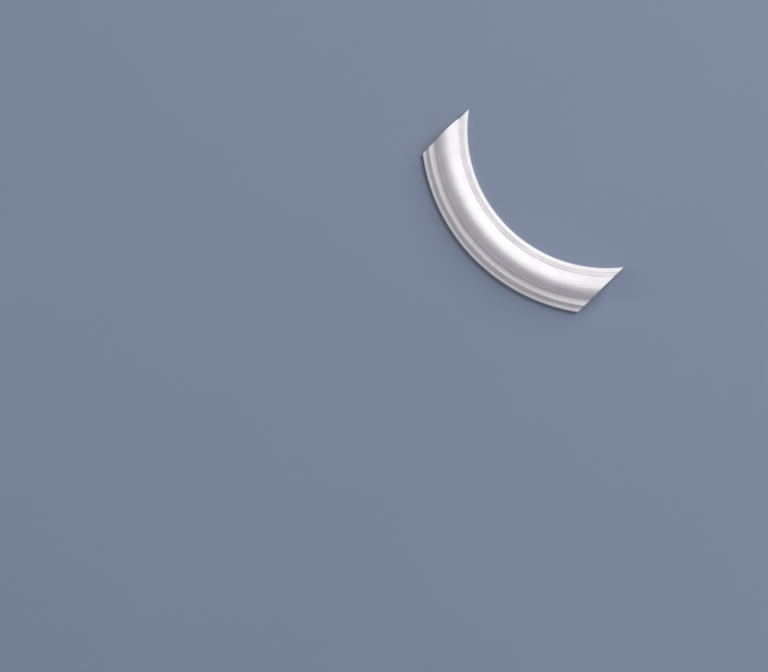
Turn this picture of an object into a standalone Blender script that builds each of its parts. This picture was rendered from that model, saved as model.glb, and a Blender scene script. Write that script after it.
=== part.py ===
"""Corner moulding: one cast piece of panel moulding that turns a frame's corner in a scooped quarter circle.

Metres, +Z up. The flat back lies in the plane Y = 0 and the moulded face looks along -Y. The world origin is
on the back, halfway along the arc and halfway across the width. Both ends are mitred to meet straight lengths
of the same section, one from the left along X and one from below along Z.
"""

import math

import bmesh
import bpy

# Driving dimensions. The mitre distance is how far each mitre plane lies from the arc's centre.
WIDTH = 0.040
CREST_HEIGHT = 0.017
CENTRELINE_RADIUS = 0.140
MITRE_DISTANCE = 0.0958

# The section: widths measured across from the hollow outer edge, heights off the wall
RIM_WIDTH = 0.0013
RIM_HEIGHT = 0.0054
NOSE_END = 0.0040
NOSE_HEIGHT = 0.0061
BAND_START = 0.0042
BAND_TOP = 0.0059
BAND_END = 0.0069
BAND_FOOT = 0.0054
QUIRK_END = 0.0075
QUIRK_FLOOR = 0.0046
CREST_ACROSS = 0.0194
FALL_POWER = 1.18
FILLET_START = 0.0281
FILLET_END = 0.0344
FILLET_HEIGHT = 0.0077
COVE_START = 0.0348
COVE_TOP = 0.0052
COVE_END = 0.0357
COVE_FLOOR = 0.0035
LIP_HEIGHT = 0.0036
LIP_ROUND = 0.0012

# How finely round stretches are cut into flats
NOSE_STEPS = 5
CREST_STEPS = 12
COVE_STEPS = 4
LIP_STEPS = 3
ARC_STEPS = 46

QUARTER_TURN = math.radians(90)
SHARP_EDGE_ANGLE = math.radians(25)

# The finish
PRIMER_WHITE = (0.86, 0.86, 0.87, 1.0)
PRIMER_ROUGHNESS = 0.45


def clear_scene():
    """Removes whatever the scene starts with."""
    for obj in list(bpy.data.objects):
        bpy.data.objects.remove(obj, do_unlink=True)


def curve_points(centre, radii, start_deg, end_deg, steps, power=1.0):
    """Points along an elliptical arc in the section, without its first point.

    A power above 1 draws the middle of the arc in towards the centre.
    """
    points = []
    for step in range(1, steps + 1):
        angle = math.radians(start_deg + (end_deg - start_deg) * step / steps)
        across = math.copysign(abs(math.cos(angle)) ** power, math.cos(angle))
        height = math.copysign(abs(math.sin(angle)) ** power, math.sin(angle))
        points.append((centre[0] + radii[0] * across, centre[1] + radii[1] * height))
    return points


def section_points():
    """The closed outline of the section, as (distance across, height off the wall).

    It starts at the back of the outer edge, runs over the face and ends at the back of the inner edge.
    """
    nose = (NOSE_END - RIM_WIDTH, NOSE_HEIGHT - RIM_HEIGHT)
    rise = (CREST_ACROSS - QUIRK_END, CREST_HEIGHT - QUIRK_FLOOR)
    fall = (FILLET_START - CREST_ACROSS, CREST_HEIGHT - FILLET_HEIGHT)
    cove = (COVE_END - COVE_START, COVE_TOP - COVE_FLOOR)

    outline = [(0.0, 0.0), (0.0, RIM_HEIGHT), (RIM_WIDTH, RIM_HEIGHT)]
    outline += curve_points((NOSE_END, RIM_HEIGHT), nose, 180, 90, NOSE_STEPS)
    outline += [(BAND_START, BAND_TOP), (BAND_END, BAND_FOOT), (QUIRK_END, QUIRK_FLOOR)]
    outline += curve_points((CREST_ACROSS, QUIRK_FLOOR), rise, 180, 90, CREST_STEPS)
    outline += curve_points((CREST_ACROSS, FILLET_HEIGHT), fall, 90, 0, CREST_STEPS, FALL_POWER)
    outline += [(FILLET_END, FILLET_HEIGHT), (COVE_START, COVE_TOP)]
    outline += curve_points((COVE_END, COVE_TOP), cove, 180, 270, COVE_STEPS)
    outline.append((WIDTH - LIP_ROUND, LIP_HEIGHT))
    outline += curve_points((WIDTH - LIP_ROUND, LIP_HEIGHT - LIP_ROUND), (LIP_ROUND, LIP_ROUND), 90, 0, LIP_STEPS)
    outline.append((WIDTH, 0.0))
    return outline


def mitre_angle(radius):
    """The angle past the arc's own end at which a line of this radius meets the mitre's flat plane."""
    return math.acos(MITRE_DISTANCE / radius) - QUARTER_TURN / 2


def mitre_ends(mesh):
    """Spreads each line of the sweep between the two mitre planes, so that both ends come out flat."""
    for vertex in mesh.verts:
        radius = math.hypot(vertex.co.x, vertex.co.z)
        share = math.atan2(-vertex.co.z, -vertex.co.x) / QUARTER_TURN
        start = mitre_angle(radius)
        angle = start + share * (QUARTER_TURN - 2 * start)
        vertex.co.x = -radius * math.cos(angle)
        vertex.co.z = -radius * math.sin(angle)


def swept_moulding():
    """The section spun through a quarter turn about the arc's centre, with its ends mitred."""
    mesh = bmesh.new()
    outer_radius = CENTRELINE_RADIUS - WIDTH / 2
    ring = [mesh.verts.new((-(outer_radius + across), -height, 0.0)) for across, height in section_points()]
    section = mesh.faces.new(ring)
    bmesh.ops.spin(
        mesh,
        geom=[*section.verts, *section.edges, section],
        cent=(0, 0, 0),
        axis=(0, -1, 0),
        angle=QUARTER_TURN,
        steps=ARC_STEPS,
        use_duplicate=False,
    )
    mitre_ends(mesh)
    bmesh.ops.recalc_face_normals(mesh, faces=mesh.faces[:])
    return mesh


def primer_material():
    """The white factory primer over the cast piece."""
    material = bpy.data.materials.new("white primer")
    material.use_nodes = True
    shader = material.node_tree.nodes["Principled BSDF"]
    shader.inputs["Base Color"].default_value = PRIMER_WHITE
    shader.inputs["Roughness"].default_value = PRIMER_ROUGHNESS
    shader.inputs["Metallic"].default_value = 0.0
    return material


def add_corner_moulding(collection):
    """Makes the moulding and places it so that the middle of its back is at the world origin."""
    mesh = bpy.data.meshes.new("corner_moulding")
    swept = swept_moulding()
    swept.to_mesh(mesh)
    swept.free()
    mesh.shade_smooth()
    mesh.set_sharp_from_angle(angle=SHARP_EDGE_ANGLE)
    mesh.materials.append(primer_material())
    moulding = bpy.data.objects.new("corner_moulding", mesh)
    centre_offset = CENTRELINE_RADIUS / math.sqrt(2)
    moulding.location = (centre_offset, 0.0, centre_offset)
    collection.objects.link(moulding)


def main():
    clear_scene()
    collection = bpy.data.collections.new("corner moulding")
    bpy.context.scene.collection.children.link(collection)
    add_corner_moulding(collection)


main()
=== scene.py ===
"""Looks of the scooped corner moulding: finely swept face, bare back and sawn mitres, on a plain wall.

Metres, +Z up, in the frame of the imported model. The back of the moulding lies in the plane Y = 0 and its
face looks along -Y. The origin is on the back, halfway along the arc and halfway across the width.
"""

import logging
import math
from collections.abc import Mapping, Sequence
from dataclasses import dataclass, field
from enum import Enum
from typing import Any

import bmesh
import bpy
from mathutils import Euler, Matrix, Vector, noise


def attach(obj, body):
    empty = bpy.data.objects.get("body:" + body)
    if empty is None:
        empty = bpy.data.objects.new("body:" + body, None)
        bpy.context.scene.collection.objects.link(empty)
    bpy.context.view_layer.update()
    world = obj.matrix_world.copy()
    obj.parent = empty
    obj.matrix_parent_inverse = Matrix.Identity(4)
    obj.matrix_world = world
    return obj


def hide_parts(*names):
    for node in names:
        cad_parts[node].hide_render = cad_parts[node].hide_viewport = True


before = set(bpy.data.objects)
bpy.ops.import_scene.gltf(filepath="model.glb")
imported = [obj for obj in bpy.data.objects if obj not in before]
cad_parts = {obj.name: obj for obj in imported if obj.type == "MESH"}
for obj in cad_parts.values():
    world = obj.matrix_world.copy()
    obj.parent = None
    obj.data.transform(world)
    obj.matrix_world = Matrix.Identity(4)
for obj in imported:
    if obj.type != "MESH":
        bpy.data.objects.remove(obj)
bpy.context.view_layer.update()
BODY = "root"
NODE = "corner_moulding"

EIGHTH_TURN = math.pi / 4
QUARTER_TURN = math.pi / 2
# How far apart the bands of a wave texture lie at a scale of 1
WAVE_PERIOD = math.pi / 10

Point = tuple[float, float]
Colour = tuple[float, float, float, float]

log = logging.getLogger("corner_moulding")


class Region(Enum):
    """The three finishes of the piece, each with the material index of its faces."""

    FACE = 0
    BACK = 1
    MITRE = 2


class Socket:
    """One output of a shader tree, with arithmetic that adds Math nodes."""

    def __init__(self, tree: "ShaderTree", output: bpy.types.NodeSocket | None) -> None:
        """Wraps an output of the tree, or None for a node that has no outputs."""
        self.tree = tree
        self.output = output

    def _math(self, operation: str, first: "Socket | float", second: "Socket | float") -> "Socket":
        """Adds one Math node and returns its value."""
        return self.tree.add("ShaderNodeMath", 0, {"operation": operation}, {0: first, 1: second})

    def __add__(self, other: "Socket | float") -> "Socket":
        """Sum."""
        return self._math("ADD", self, other)

    def __radd__(self, other: float) -> "Socket":
        """Sum with a number in front."""
        return self._math("ADD", other, self)

    def __sub__(self, other: "Socket | float") -> "Socket":
        """Difference."""
        return self._math("SUBTRACT", self, other)

    def __rsub__(self, other: float) -> "Socket":
        """Difference from a number in front."""
        return self._math("SUBTRACT", other, self)

    def __mul__(self, other: "Socket | float") -> "Socket":
        """Product."""
        return self._math("MULTIPLY", self, other)

    def __rmul__(self, other: float) -> "Socket":
        """Product with a number in front."""
        return self._math("MULTIPLY", other, self)

    def __abs__(self) -> "Socket":
        """Size without sign."""
        return self._math("ABSOLUTE", self, 0.0)


class ShaderTree:
    """A material's node tree, with one way to add any node."""

    def __init__(self, name: str) -> None:
        """Makes a material with an empty tree.

        Args:
            name: The name of the material.
        """
        self.material = bpy.data.materials.new(name)
        self.material.use_nodes = True
        self.nodes = self.material.node_tree.nodes
        self.links = self.material.node_tree.links
        self.nodes.clear()

    def add(
        self,
        kind: str,
        output: int | str = 0,
        settings: Mapping[str, Any] | None = None,
        sockets: Mapping[int | str, Any] | None = None,
    ) -> Socket:
        """Adds a node, sets it up and links it.

        Args:
            kind: The node's type.
            output: The output to return.
            settings: Properties of the node, such as its operation, set first.
            sockets: A value or a Socket for each input, by name or by number.

        Returns:
            The chosen output, which wraps None where the node has no outputs.
        """
        node = self.nodes.new(kind)
        for key, value in (settings or {}).items():
            setattr(node, key, value)
        for key, value in (sockets or {}).items():
            if isinstance(value, Socket):
                self.links.new(value.output, node.inputs[key])
            else:
                node.inputs[key].default_value = value
        return Socket(self, node.outputs[output] if len(node.outputs) else None)

    def noise(self, position: Socket, size: float, detail: float = 3.0, roughness: float = 0.5) -> Socket:
        """Smooth random grain about 0.5, with lumps as wide as the size and a few finer octaves."""
        sockets = {"Vector": position, "Scale": 1.0 / size, "Detail": detail, "Roughness": roughness}
        return self.add("ShaderNodeTexNoise", "Fac", sockets=sockets)

    def cells(self, position: Socket, spacing: float, randomness: float = 1.0) -> Socket:
        """The distance to the nearest of scattered points, where 1 stands for their spacing."""
        sockets = {"Vector": position, "Scale": 1.0 / spacing, "Randomness": randomness}
        return self.add("ShaderNodeTexVoronoi", "Distance", {"feature": "F1"}, sockets)

    def step(self, value: Socket, low: float, high: float) -> Socket:
        """A smooth step from 0 at low to 1 at high.

        Args:
            value: What is compared.
            low: Where the step is 0. It may be above high, which turns the step round.
            high: Where the step is 1.

        Returns:
            The step, from 0 to 1.
        """
        settings = {"interpolation_type": "SMOOTHSTEP"}
        sockets = {"Value": value, "From Min": low, "From Max": high, "To Min": 0.0, "To Max": 1.0}
        return self.add("ShaderNodeMapRange", settings=settings, sockets=sockets)

    def blend(self, share: Socket | float, first: Socket | Colour, second: Socket | Colour) -> Socket:
        """A colour between two: the first at a share of 0, the second at a share of 1."""
        settings = {"data_type": "RGBA", "clamp_factor": True}
        return self.add("ShaderNodeMix", 2, settings, {0: share, 6: first, 7: second})

    def bump(self, height: Socket, distance: float, strength: float) -> Socket:
        """A normal tilted by a height, where a height of 1 stands for the distance in metres."""
        sockets = {"Height": height, "Distance": distance, "Strength": strength}
        return self.add("ShaderNodeBump", sockets=sockets)

    def surface(self, **inputs: Any) -> bpy.types.Material:
        """Ends the tree in a Principled shader.

        Args:
            **inputs: Its inputs, with _ for a space.

        Returns:
            The finished material.
        """
        sockets = {name.replace("_", " "): value for name, value in inputs.items()}
        shader = self.add("ShaderNodeBsdfPrincipled", sockets=sockets)
        self.add("ShaderNodeOutputMaterial", sockets={"Surface": shader})
        return self.material


@dataclass(frozen=True)
class Arc:
    """The quarter circle that the moulding follows, with a flat mitre plane near each of its ends."""

    radius: float = 0.140
    mitre_distance: float = 0.0958

    @property
    def centre_offset(self) -> float:
        """How far the arc's centre is from the origin, along X and along Z."""
        return self.radius / math.sqrt(2)

    def mitre_angle(self, radius: float, setback: float = 0.0) -> float:
        """The angle past the arc's own end at which a line meets the mitre plane, less the setback."""
        return math.acos((self.mitre_distance - setback) / radius) - EIGHTH_TURN

    def place(self, radius: float, height: float, share: float, setback: float = 0.0) -> Vector:
        """A point of the sweep.

        Args:
            radius: Its distance from the arc's centre.
            height: Its height off the wall.
            share: How far along it is, from 0 at the left mitre to 1 at the lower one.
            setback: How far inside the mitre planes the sweep ends.

        Returns:
            The point in the model's frame.
        """
        start = self.mitre_angle(radius, setback)
        angle = start + share * (QUARTER_TURN - 2 * start)
        across = self.centre_offset - radius * math.cos(angle)
        up = self.centre_offset - radius * math.sin(angle)
        return Vector((across, -height, up))


@dataclass(frozen=True)
class Section:
    """The moulding's section, measured across from the hollow outer edge and off the wall."""

    width: float = 0.040
    rim_width: float = 0.0013
    rim_height: float = 0.0054
    nose_end: float = 0.0040
    nose_height: float = 0.0061
    band_start: float = 0.0042
    band_top: float = 0.0059
    band_end: float = 0.0069
    band_foot: float = 0.0054
    quirk_end: float = 0.0075
    quirk_floor: float = 0.0046
    crest_across: float = 0.0194
    crest_height: float = 0.017
    fall_power: float = 1.18
    fillet_start: float = 0.0281
    fillet_end: float = 0.0344
    fillet_height: float = 0.0077
    cove_start: float = 0.0348
    cove_top: float = 0.0052
    cove_end: float = 0.0357
    cove_floor: float = 0.0035
    lip_height: float = 0.0036
    lip_round: float = 0.0012
    nose_steps: int = 12
    crest_steps: int = 34
    cove_steps: int = 8
    lip_steps: int = 8
    ease: float = 0.0003
    ease_share: float = 0.45
    ease_steps: int = 4
    sharp_turn: float = math.radians(24)
    flat_step: float = 0.0012

    @staticmethod
    def curve(
        centre: Point, radii: Point, start: float, end: float, steps: int, power: float = 1.0
    ) -> list[Point]:
        """Points along an elliptical arc, without its first point.

        Args:
            centre: The ellipse's centre.
            radii: Its radii across and in height.
            start: Where the arc starts, in degrees.
            end: Where it ends, in degrees.
            steps: How many points it gets.
            power: Above 1 it draws the middle of the arc in towards the centre.

        Returns:
            The points in order.
        """
        points = []
        for step in range(1, steps + 1):
            angle = math.radians(start + (end - start) * step / steps)
            across = math.copysign(abs(math.cos(angle)) ** power, math.cos(angle))
            height = math.copysign(abs(math.sin(angle)) ** power, math.sin(angle))
            points.append((centre[0] + radii[0] * across, centre[1] + radii[1] * height))
        return points

    def sharp_outline(self) -> list[Point]:
        """The outline with sharp corners.

        Returns:
            Its points, from the middle of the back over the face and round to the middle again.
        """
        nose = (self.nose_end - self.rim_width, self.nose_height - self.rim_height)
        rise = (self.crest_across - self.quirk_end, self.crest_height - self.quirk_floor)
        fall = (self.fillet_start - self.crest_across, self.crest_height - self.fillet_height)
        cove = (self.cove_end - self.cove_start, self.cove_top - self.cove_floor)
        middle = (self.width / 2, 0.0)

        outline = [middle, (0.0, 0.0), (0.0, self.rim_height), (self.rim_width, self.rim_height)]
        outline += self.curve((self.nose_end, self.rim_height), nose, 180, 90, self.nose_steps)
        outline += [(self.band_start, self.band_top), (self.band_end, self.band_foot)]
        outline.append((self.quirk_end, self.quirk_floor))
        outline += self.curve((self.crest_across, self.quirk_floor), rise, 180, 90, self.crest_steps)
        crest_foot = (self.crest_across, self.fillet_height)
        outline += self.curve(crest_foot, fall, 90, 0, self.crest_steps, self.fall_power)
        outline += [(self.fillet_end, self.fillet_height), (self.cove_start, self.cove_top)]
        outline += self.curve((self.cove_end, self.cove_top), cove, 180, 270, self.cove_steps)
        lip_centre = (self.width - self.lip_round, self.lip_height - self.lip_round)
        outline.append((lip_centre[0], self.lip_height))
        outline += self.curve(lip_centre, (self.lip_round, self.lip_round), 90, 0, self.lip_steps)
        outline += [(self.width, 0.0), middle]
        return outline

    def outline(self) -> list[Point]:
        """The outline with eased corners.

        Returns:
            Its points in order, from the middle of the back and without that point again at the end.
        """
        points = [Vector(point) for point in self.sharp_outline()]
        lengths = [0.0]
        for before, after in zip(points, points[1:]):
            lengths.append(lengths[-1] + (after - before).length)
        corners = [i for i in range(1, len(points) - 1) if self._turn(points, i) > self.sharp_turn]
        reaches = {}
        for corner in corners:
            gaps = [abs(lengths[corner] - lengths[other]) for other in corners if other != corner]
            reaches[corner] = min(self.ease, self.ease_share * min(gaps))

        eased: list[Vector] = []
        for index, point in enumerate(points):
            if index in reaches:
                eased += self._eased_corner(points, lengths, index, reaches[index])
            elif all(abs(lengths[index] - lengths[corner]) > reach for corner, reach in reaches.items()):
                eased.append(point)
        return self._split_flats(eased)

    @staticmethod
    def _turn(points: Sequence[Vector], index: int) -> float:
        """How sharply the outline turns at a point.

        Args:
            points: The outline.
            index: Which of its points.

        Returns:
            The turn in radians.
        """
        before = points[index] - points[index - 1]
        after = points[index + 1] - points[index]
        return before.angle(after)

    def _eased_corner(
        self, points: Sequence[Vector], lengths: Sequence[float], index: int, reach: float
    ) -> list[Vector]:
        """A small curve in place of a corner, tangent to the outline on both sides.

        Args:
            points: The outline.
            lengths: How far along the outline each point lies.
            index: Which point is the corner.
            reach: How far to each side of the corner the curve starts.

        Returns:
            The curve's points.
        """
        start = self._along(points, lengths, lengths[index] - reach)
        end = self._along(points, lengths, lengths[index] + reach)
        corner = points[index]
        curve = []
        for step in range(self.ease_steps + 1):
            share = step / self.ease_steps
            first, second = start.lerp(corner, share), corner.lerp(end, share)
            curve.append(first.lerp(second, share))
        return curve

    @staticmethod
    def _along(points: Sequence[Vector], lengths: Sequence[float], length: float) -> Vector:
        """The point that lies a given length along the outline.

        Args:
            points: The outline.
            lengths: How far along the outline each point lies.
            length: The length asked for.

        Returns:
            The point.
        """
        for index in range(1, len(points)):
            if length <= lengths[index]:
                share = (length - lengths[index - 1]) / (lengths[index] - lengths[index - 1])
                return points[index - 1].lerp(points[index], share)
        return points[-1].copy()

    def _split_flats(self, points: Sequence[Vector]) -> list[Point]:
        """Cuts long straight stretches into short ones, so that the surface can be uneven there too.

        Args:
            points: The outline with its corners eased.

        Returns:
            The outline's points, without the last one.
        """
        split: list[Point] = []
        for before, after in zip(points, points[1:]):
            parts = max(1, round((after - before).length / self.flat_step))
            split += [tuple(before.lerp(after, part / parts)) for part in range(parts)]
        return split


@dataclass(frozen=True)
class Unevenness:
    """Slight waviness and faint pull marks of a cast piece, as mesh. They only ever sink the surface."""

    broad_depth: float = 0.00009
    broad_length: float = 0.022
    fine_depth: float = 0.00005
    fine_length: float = 0.007
    pull_depth: float = 0.00004
    pull_width: float = 0.0028
    pull_stretch: float = 9.0

    def at(self, place: Vector, radius: float, along: float) -> float:
        """How far the surface sinks at a place.

        Args:
            place: The place in the model's frame.
            radius: Its distance from the arc's centre.
            along: How far it is along the arc, in metres.

        Returns:
            The depth in metres, never below 0.
        """
        track = Vector((radius, place.y, along / self.pull_stretch))
        layers = (
            (self.broad_depth, place / self.broad_length),
            (self.fine_depth, place / self.fine_length),
            (self.pull_depth, track / self.pull_width),
        )
        return sum(depth * (0.5 + 0.5 * noise.noise(point)) for depth, point in layers)


@dataclass(frozen=True)
class PrimerFinish:
    """White satin primer, sprayed over the cast face: pull marks, fine orange peel and a few pinholes,
    darkened with painted shade.
    """

    white: Colour = (0.857, 0.832, 0.857, 1.0)
    # Greyer colour for thin primer at random, also used to paint shade into the pinholes
    thin_primer_and_painted_shade: Colour = (0.76, 0.735, 0.735, 1.0)
    thin_band: Point = (0.42, 0.64)
    thin_strength: float = 0.7
    specular: float = 0.35
    roughness: float = 0.46
    mottle_roughness: float = 0.12
    pull_roughness: float = 0.10
    mottle_size: float = 0.014
    mottle_share: float = 0.55
    pull_width: float = 0.0016
    pull_stretch: float = 16.0
    peel_size: float = 0.0011
    hole_spacing: float = 0.007
    hole_radius: float = 0.00035
    painted_hole_shade: float = 0.5
    hole_depth: float = 2.5
    relief_height: float = 0.00008
    relief_strength: float = 0.8

    def material(self, arc: Arc) -> bpy.types.Material:
        """Builds the material.

        Args:
            arc: The arc that the faint pull marks follow.

        Returns:
            The material.
        """
        tree = ShaderTree("white_primer_face")
        position = tree.add("ShaderNodeNewGeometry", "Position")
        along = arc_coordinates(tree, position, arc, 1.0 / self.pull_stretch)
        mottle = tree.noise(position, self.mottle_size, detail=4.0)
        pulls = tree.noise(along, self.pull_width, detail=3.0, roughness=0.6)
        peel = tree.noise(position, self.peel_size, detail=1.0)
        hole_edge = self.hole_radius / self.hole_spacing
        holes = tree.step(tree.cells(position, self.hole_spacing), hole_edge, hole_edge / 2)
        cover = mottle * self.mottle_share + pulls * (1 - self.mottle_share)
        # Random thin primer, plus painted shade that darkens the pinholes where the bump sinks them
        thinness_and_painted_shade = tree.step(cover, *self.thin_band) * self.thin_strength + holes * self.painted_hole_shade
        spread = (mottle - 0.5) * self.mottle_roughness + (pulls - 0.5) * self.pull_roughness
        relief = peel + pulls - holes * self.hole_depth
        return tree.surface(
            Base_Color=tree.blend(thinness_and_painted_shade, self.white, self.thin_primer_and_painted_shade),
            Roughness=self.roughness + spread,
            Normal=tree.bump(relief, self.relief_height, self.relief_strength),
            Specular_IOR_Level=self.specular,
        )


@dataclass(frozen=True)
class BackFinish:
    """The bare moulded skin of the back: cream, sanded flat in one direction, with open air bubbles
    darkened by painted shade.
    """

    cream: Colour = (0.74, 0.69, 0.58, 1.0)
    pale: Colour = (0.81, 0.78, 0.70, 1.0)
    primer: Colour = (0.87, 0.865, 0.875, 1.0)
    # Dark colour painted into the open bubbles as shade
    pore_painted_shade: Colour = (0.46, 0.41, 0.32, 1.0)
    pale_band: Point = (0.38, 0.64)
    specular: float = 0.3
    roughness: float = 0.72
    rim_smoothing: float = 0.2
    scratch_roughness: float = 0.1
    cloud_size: float = 0.02
    cloud_share: float = 0.7
    scratch_size: float = 0.0006
    scratch_stretch: float = 40.0
    scratch_turn: float = math.radians(38)
    pore_spacing: float = 0.0042
    pore_edge: Point = (0.20, 0.11)
    pore_patches: Point = (0.50, 0.62)
    painted_pore_shade: float = 0.8
    pore_depth: float = 3.0
    scratch_depth: float = 0.35
    cloud_depth: float = 0.6
    overspray: float = 0.0022
    overspray_cover: float = 0.9
    relief_height: float = 0.00008
    relief_strength: float = 0.7

    def material(self, arc: Arc, section: Section) -> bpy.types.Material:
        """Builds the material.

        Args:
            arc: The arc that the moulding follows.
            section: The section, whose edges the primer's overspray runs along.

        Returns:
            The material.
        """
        tree = ShaderTree("bare_moulded_back")
        position = tree.add("ShaderNodeNewGeometry", "Position")
        turn = (0.0, self.scratch_turn, 0.0)
        turned = tree.add("ShaderNodeMapping", sockets={"Vector": position, "Rotation": turn})
        squeeze = (1.0 / self.scratch_stretch, 1.0, 1.0)
        stretched = tree.add("ShaderNodeVectorMath", 0, {"operation": "MULTIPLY"}, {0: turned, 1: squeeze})
        scratches = tree.noise(stretched, self.scratch_size, detail=3.0, roughness=0.7)
        cloud = tree.noise(position, self.cloud_size, detail=4.0, roughness=0.6)
        patches = tree.step(tree.noise(position, self.pore_spacing * 2.5, detail=1.0), *self.pore_patches)
        pores = tree.step(tree.cells(position, self.pore_spacing), *self.pore_edge) * patches

        centre = (arc.centre_offset, 0.0, arc.centre_offset)
        measure = {"operation": "DISTANCE"}
        reach = tree.add("ShaderNodeVectorMath", "Value", measure, {0: position, 1: centre})
        ragged = abs(reach - arc.radius) + (cloud - 0.5) * self.overspray * 2
        edge = section.width / 2
        rim = tree.step(ragged, edge - self.overspray, edge - self.overspray * 0.3)

        tone = cloud * self.cloud_share + scratches * (1 - self.cloud_share)
        skin = tree.blend(tree.step(tone, *self.pale_band), self.cream, self.pale)
        # Painted shade: the open bubbles are darkened in colour as well as sunk by the bump
        skin_with_painted_pore_shade = tree.blend(pores * self.painted_pore_shade, skin, self.pore_painted_shade)
        spread = (scratches - 0.5) * self.scratch_roughness
        relief = scratches * self.scratch_depth - pores * self.pore_depth + cloud * self.cloud_depth
        return tree.surface(
            Base_Color=tree.blend(rim * self.overspray_cover, skin_with_painted_pore_shade, self.primer),
            Roughness=self.roughness - rim * self.rim_smoothing + spread,
            Normal=tree.bump(relief, self.relief_height, self.relief_strength),
            Specular_IOR_Level=self.specular,
        )


@dataclass(frozen=True)
class MitreFinish:
    """The sawn mitre: fine closed cells of the rigid foam, pale cream, crossed by faint saw lines, with
    painted shade in the open cells.
    """

    cream: Colour = (0.89, 0.84, 0.72, 1.0)
    # Darker cream for the saw lines and random tone, and for painted shade in the open cells
    tone_and_painted_shade: Colour = (0.76, 0.68, 0.54, 1.0)
    specular: float = 0.2
    roughness: float = 0.85
    cloud_roughness: float = 0.15
    cloud_size: float = 0.006
    cell_size: float = 0.00075
    cell_edge: Point = (0.42, 0.16)
    cell_randomness: float = 0.9
    painted_cell_shade: float = 0.45
    cloud_shade: float = 0.5
    saw_pitch: float = 0.0009425
    saw_shade: float = 0.12
    saw_depth: float = 0.3
    relief_height: float = 0.00012
    relief_strength: float = 0.7

    def material(self) -> bpy.types.Material:
        """Builds the material.

        Returns:
            The material.
        """
        tree = ShaderTree("sawn_foam_mitre")
        position = tree.add("ShaderNodeNewGeometry", "Position")
        bands = {"wave_type": "BANDS", "bands_direction": "Y"}
        scale = WAVE_PERIOD / self.saw_pitch
        sockets = {"Vector": position, "Scale": scale, "Distortion": 1.5, "Detail": 1.0}
        lines = tree.add("ShaderNodeTexWave", "Fac", bands, sockets)
        cloud = tree.noise(position, self.cloud_size, detail=3.0)
        cells = tree.cells(position, self.cell_size, self.cell_randomness)
        open_cells = tree.step(cells, *self.cell_edge)
        # Painted shade darkens the open cells, which the bump also sinks; saw lines and cloud add tone
        tone_and_painted_shade = open_cells * self.painted_cell_shade + lines * self.saw_shade + (cloud - 0.5) * self.cloud_shade
        return tree.surface(
            Base_Color=tree.blend(tone_and_painted_shade, self.cream, self.tone_and_painted_shade),
            Roughness=self.roughness + (cloud - 0.5) * self.cloud_roughness,
            Normal=tree.bump(lines * self.saw_depth - open_cells, self.relief_height, self.relief_strength),
            Specular_IOR_Level=self.specular,
        )


def arc_coordinates(tree: ShaderTree, position: Socket, arc: Arc, squeeze: float) -> Socket:
    """Coordinates that run with the moulding, so that marks can follow the arc.

    Args:
        tree: The tree to add to.
        position: The place on the surface.
        arc: The arc that is followed.
        squeeze: How much shorter distances along the arc are made, which draws the marks out.

    Returns:
        A vector of the distance from the centre, the height, and the squeezed way along.
    """
    centre = (arc.centre_offset, 0.0, arc.centre_offset)
    offset = tree.add("ShaderNodeVectorMath", 0, {"operation": "SUBTRACT"}, {0: position, 1: centre})
    x, y, z = (tree.add("ShaderNodeSeparateXYZ", axis, sockets={0: offset}) for axis in "XYZ")
    reach = tree.add("ShaderNodeVectorMath", "Value", {"operation": "LENGTH"}, {0: offset})
    angle = tree.add("ShaderNodeMath", 0, {"operation": "ARCTAN2"}, {0: 0.0 - z, 1: 0.0 - x})
    sockets = {"X": reach, "Y": y, "Z": angle * (arc.radius * squeeze)}
    return tree.add("ShaderNodeCombineXYZ", sockets=sockets)


def darkened(colour: Colour, share: float) -> Colour:
    """A colour with each of its levels cut to a share."""
    return tuple(level * share for level in colour[:3]) + (1.0,)


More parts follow.
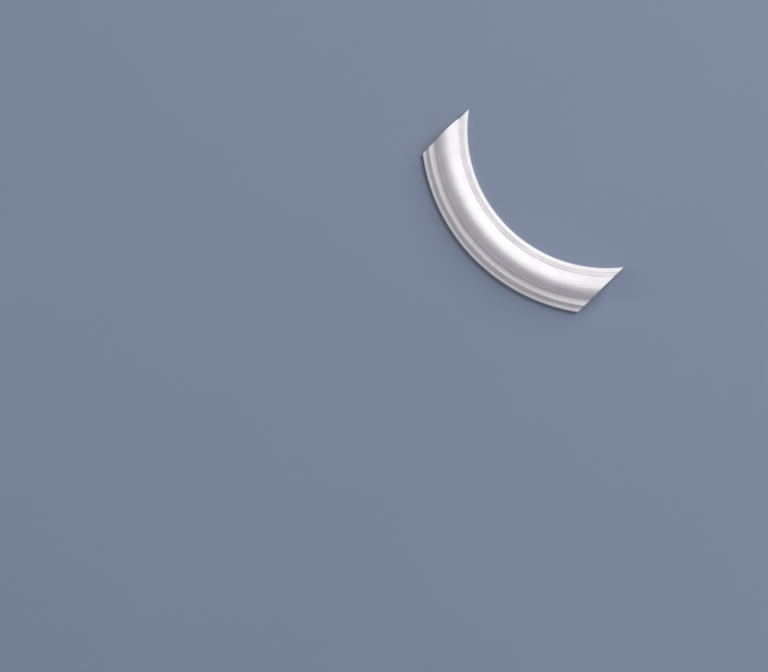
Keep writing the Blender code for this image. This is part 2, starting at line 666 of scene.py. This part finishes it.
@dataclass
class CornerMoulding:
    """The one cast piece, swept finely over the CAD solid that it stands for."""

    arc: Arc = field(default_factory=Arc)
    section: Section = field(default_factory=Section)
    unevenness: Unevenness = field(default_factory=Unevenness)
    stations: int = 220
    mitre_ease: float = 0.00012
    sharp_edge: float = math.radians(50)

    def ring(self, outline: Sequence[Point], share: float, inset: float, setback: float) -> list[Vector]:
        """One section of the sweep.

        Args:
            outline: The section's outline.
            share: How far along the arc it is, from 0 to 1.
            inset: How far the outline is drawn in, for the eased edge of the mitre.
            setback: How far inside the mitre planes the sweep ends.

        Returns:
            The ring's points.
        """
        inner_edge = self.arc.radius - self.section.width / 2
        along = share * QUARTER_TURN * self.arc.radius
        ring = []
        for index, (across, height) in enumerate(outline):
            before, after = Vector(outline[index - 1]), Vector(outline[(index + 1) % len(outline)])
            tangent = (after - before).normalized()
            normal = Vector((-tangent.y, tangent.x))
            radius = inner_edge + across
            sink = inset
            if height > 0:
                sink += self.unevenness.at(self.arc.place(radius, height, share, setback), radius, along)
            radius -= normal.x * sink
            ring.append(self.arc.place(radius, max(height - normal.y * sink, 0.0), share, setback))
        return ring

    def mesh(self) -> bpy.types.Mesh:
        """The piece's mesh: the swept face and back, and a flat cap at each mitre.

        Returns:
            The mesh, with its faces sorted into the regions.
        """
        outline = self.section.outline()
        rings = [self.ring(outline, 0.0, self.mitre_ease, 0.0)]
        for station in range(self.stations + 1):
            rings.append(self.ring(outline, station / self.stations, 0.0, self.mitre_ease))
        rings.append(self.ring(outline, 1.0, self.mitre_ease, 0.0))

        shape = bmesh.new()
        grid = [[shape.verts.new(point) for point in ring] for ring in rings]
        count = len(outline)
        for first, second in zip(grid, grid[1:]):
            for index in range(count):
                after = (index + 1) % count
                quad = shape.faces.new((first[index], first[after], second[after], second[index]))
                on_back = outline[index][1] == 0.0 and outline[after][1] == 0.0
                quad.material_index = (Region.BACK if on_back else Region.FACE).value
                quad.smooth = True
        for ring in (grid[0], grid[-1]):
            cap = shape.faces.new(ring)
            cap.material_index = Region.MITRE.value
        bmesh.ops.recalc_face_normals(shape, faces=shape.faces[:])
        mesh = bpy.data.meshes.new("corner_moulding_finished")
        shape.to_mesh(mesh)
        shape.free()
        mesh.set_sharp_from_angle(angle=self.sharp_edge)
        for face in mesh.polygons:
            face.use_smooth = face.material_index != Region.MITRE.value
        return mesh

    def build(self) -> bpy.types.Object:
        """Makes the piece, dresses it and sets it in place of its solid.

        Returns:
            The piece.
        """
        mesh = self.mesh()
        mesh.materials.append(PrimerFinish().material(self.arc))
        mesh.materials.append(BackFinish().material(self.arc, self.section))
        mesh.materials.append(MitreFinish().material())
        piece = bpy.data.objects.new("corner_moulding_finished", mesh)
        bpy.context.scene.collection.objects.link(piece)
        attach(piece, BODY)
        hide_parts(NODE)
        return piece


@dataclass
class WallPanel:
    """A plain matt wall, cut out behind the piece and clear from behind, so that the back can be seen."""

    left: float = -0.62
    right: float = 0.46
    bottom: float = -0.52
    top: float = 0.44
    gap: float = 0.0001
    overlap: float = 0.00015
    colour: Colour = (0.22, 0.265, 0.36, 1.0)
    shading: float = 0.96
    roughness: float = 0.8
    specular: float = 0.2
    tone_size: float = 0.25
    grain_size: float = 0.004
    grain_height: float = 0.00005
    grain_strength: float = 0.4

    def cut_out(self, arc: Arc, section: Section, steps: int = 64) -> list[Vector]:
        """The edge of the opening, just inside the edge of the moulding's back.

        Args:
            arc: The arc that the moulding follows.
            section: The moulding's section.
            steps: How many pieces each curved side has.

        Returns:
            The points of the edge in order.
        """
        outer = arc.radius - section.width / 2 + self.overlap
        inner = arc.radius + section.width / 2 - self.overlap
        shares = [step / steps for step in range(steps + 1)]
        near = [arc.place(outer, 0.0, share, self.overlap) for share in shares]
        far = [arc.place(inner, 0.0, share, self.overlap) for share in reversed(shares)]
        return near + far

    def material(self) -> bpy.types.Material:
        """Matt paint seen from the front, and nothing seen from behind.

        Returns:
            The material.
        """
        tree = ShaderTree("plain_wall")
        position = tree.add("ShaderNodeNewGeometry", "Position")
        behind = tree.add("ShaderNodeNewGeometry", "Backfacing")
        grain = tree.noise(position, self.grain_size, detail=2.0)
        tone = tree.noise(position, self.tone_size, detail=2.0)
        paint = tree.add(
            "ShaderNodeBsdfPrincipled",
            sockets={
                "Base Color": tree.blend(tone, self.colour, darkened(self.colour, self.shading)),
                "Roughness": self.roughness,
                "Specular IOR Level": self.specular,
                "Normal": tree.bump(grain, self.grain_height, self.grain_strength),
            },
        )
        clear = tree.add("ShaderNodeBsdfTransparent")
        mixed = tree.add("ShaderNodeMixShader", sockets={0: behind, 1: paint, 2: clear})
        tree.add("ShaderNodeOutputMaterial", sockets={"Surface": mixed})
        return tree.material

    def build(self, arc: Arc, section: Section) -> bpy.types.Object:
        """Makes the wall.

        Args:
            arc: The arc that the moulding follows.
            section: The moulding's section.

        Returns:
            The wall.
        """
        corners = [
            Vector((self.left, 0.0, self.bottom)),
            Vector((self.right, 0.0, self.bottom)),
            Vector((self.right, 0.0, self.top)),
            Vector((self.left, 0.0, self.top)),
        ]
        shape = bmesh.new()
        for loop in (corners, self.cut_out(arc, section)):
            ring = [shape.verts.new(point + Vector((0.0, self.gap, 0.0))) for point in loop]
            for index, vertex in enumerate(ring):
                shape.edges.new((vertex, ring[(index + 1) % len(ring)]))
        bmesh.ops.triangle_fill(shape, edges=shape.edges[:], use_beauty=True, normal=(0.0, -1.0, 0.0))
        for face in shape.faces:
            face.normal_update()
            if face.normal.y > 0:
                face.normal_flip()
        mesh = bpy.data.meshes.new("wall")
        shape.to_mesh(mesh)
        shape.free()
        mesh.materials.append(self.material())
        wall = bpy.data.objects.new("wall", mesh)
        bpy.context.scene.collection.objects.link(wall)
        return wall


@dataclass
class Floor:
    """A plain pale floor well below the piece, painted paler where it runs far out of the light, as painted
    light in place of the light that falls off there.
    """

    height: float = -0.90
    half_size: float = 25.0
    colour: Colour = (0.34, 0.34, 0.36, 1.0)
    painted_far_light_colour: Colour = (0.85, 0.85, 0.87, 1.0)
    near_radius: float = 2.5
    far_radius: float = 9.0
    shading: float = 0.95
    roughness: float = 0.7
    tone_size: float = 0.8

    def build(self) -> bpy.types.Object:
        """Makes the floor.

        Returns:
            The floor.
        """
        tree = ShaderTree("plain_floor")
        position = tree.add("ShaderNodeNewGeometry", "Position")
        tone = tree.noise(position, self.tone_size, detail=2.0)
        near = tree.blend(tone, self.colour, darkened(self.colour, self.shading))
        reach = tree.add("ShaderNodeVectorMath", "Value", {"operation": "LENGTH"}, {0: position})
        # Painted light: the floor's colour turns paler with distance, making up for the light that falls
        # off there
        far = tree.step(reach, self.near_radius, self.far_radius)
        colour = tree.blend(far, near, self.painted_far_light_colour)
        material = tree.surface(Base_Color=colour, Roughness=self.roughness)
        shape = bmesh.new()
        bmesh.ops.create_grid(shape, x_segments=1, y_segments=1, size=self.half_size)
        bmesh.ops.translate(shape, verts=shape.verts[:], vec=(0.0, 0.0, self.height))
        mesh = bpy.data.meshes.new("floor")
        shape.to_mesh(mesh)
        shape.free()
        mesh.materials.append(material)
        floor = bpy.data.objects.new("floor", mesh)
        bpy.context.scene.collection.objects.link(floor)
        return floor


@dataclass
class StudioLight:
    """A round soft light that faces the piece, leant off the wall's normal and turned about it."""

    name: str
    lean_deg: float
    turn_deg: float
    distance: float
    diameter: float
    watts: float
    behind: bool = False

    def build(self) -> bpy.types.Object:
        """Makes the light.

        Returns:
            The light.
        """
        lean, turn = math.radians(self.lean_deg), math.radians(self.turn_deg)
        depth = math.cos(lean) * (1 if self.behind else -1)
        direction = Vector((math.sin(lean) * math.cos(turn), depth, math.sin(lean) * math.sin(turn)))
        lamp = bpy.data.lights.new(self.name, "AREA")
        lamp.shape = "DISK"
        lamp.size = self.diameter
        lamp.energy = self.watts
        light = bpy.data.objects.new(self.name, lamp)
        light.location = direction * self.distance
        light.rotation_euler = direction.to_track_quat("Z", "Y").to_euler()
        bpy.context.scene.collection.objects.link(light)
        return light


@dataclass
class Studio:
    """The plain soft studio: a raking key from the upper right, a weak fill, a light for the back."""

    surround: tuple[float, float, float] = (1.0, 0.97, 1.0)
    surround_level: float = 0.129
    lights: list[StudioLight] = field(
        default_factory=lambda: [
            StudioLight("key", lean_deg=53.5, turn_deg=45.5, distance=5.0, diameter=4.2, watts=298.0),
            StudioLight("fill", lean_deg=64.0, turn_deg=186.0, distance=4.0, diameter=2.5, watts=40.0),
            StudioLight("back", 50.0, 120.0, distance=2.0, diameter=0.9, watts=30.0, behind=True),
        ]
    )

    def build(self) -> list[bpy.types.Object]:
        """Makes the surround and the lights.

        Returns:
            The lights.
        """
        world = bpy.data.worlds.new("surround")
        world.use_nodes = True
        background = world.node_tree.nodes["Background"]
        background.inputs["Color"].default_value = (*self.surround, 1.0)
        background.inputs["Strength"].default_value = self.surround_level
        bpy.context.scene.world = world
        bpy.context.scene.view_settings.view_transform = "Standard"
        return [light.build() for light in self.lights]


@dataclass
class ReferenceCamera:
    """A long lens, almost square on to the wall, a little from the left and from below."""

    location: tuple[float, float, float] = (-0.12968, -2.57252, -0.32716)
    rotation_deg: tuple[float, float, float] = (95.431, -0.874, -0.957)
    sensor_mm: float = 36.0
    frame_width_px: int = 768
    focal_length_px: float = 3000.0

    def build(self) -> bpy.types.Object:
        """Makes the camera and makes it the scene's own.

        Returns:
            The camera.
        """
        lens = bpy.data.cameras.new("camera")
        lens.sensor_width = self.sensor_mm
        lens.lens = self.sensor_mm * self.focal_length_px / self.frame_width_px
        camera = bpy.data.objects.new("camera", lens)
        camera.location = self.location
        camera.rotation_euler = Euler([math.radians(angle) for angle in self.rotation_deg])
        bpy.context.scene.collection.objects.link(camera)
        bpy.context.scene.camera = camera
        return camera


def main() -> None:
    """Builds the camera, the piece, the stage and the lights, and reports each."""
    logging.basicConfig(level=logging.INFO, format="%(name)s: %(message)s")
    camera = ReferenceCamera().build()
    log.info("camera at %s", [round(value, 3) for value in camera.location])
    moulding = CornerMoulding()
    piece = moulding.build()
    log.info("%s: %d faces", piece.name, len(piece.data.polygons))
    for stage in (WallPanel().build(moulding.arc, moulding.section), Floor().build()):
        log.info("stage: %s", stage.name)
    for light in Studio().build():
        log.info("light: %s", light.name)


if __name__ == "__main__":
    main()
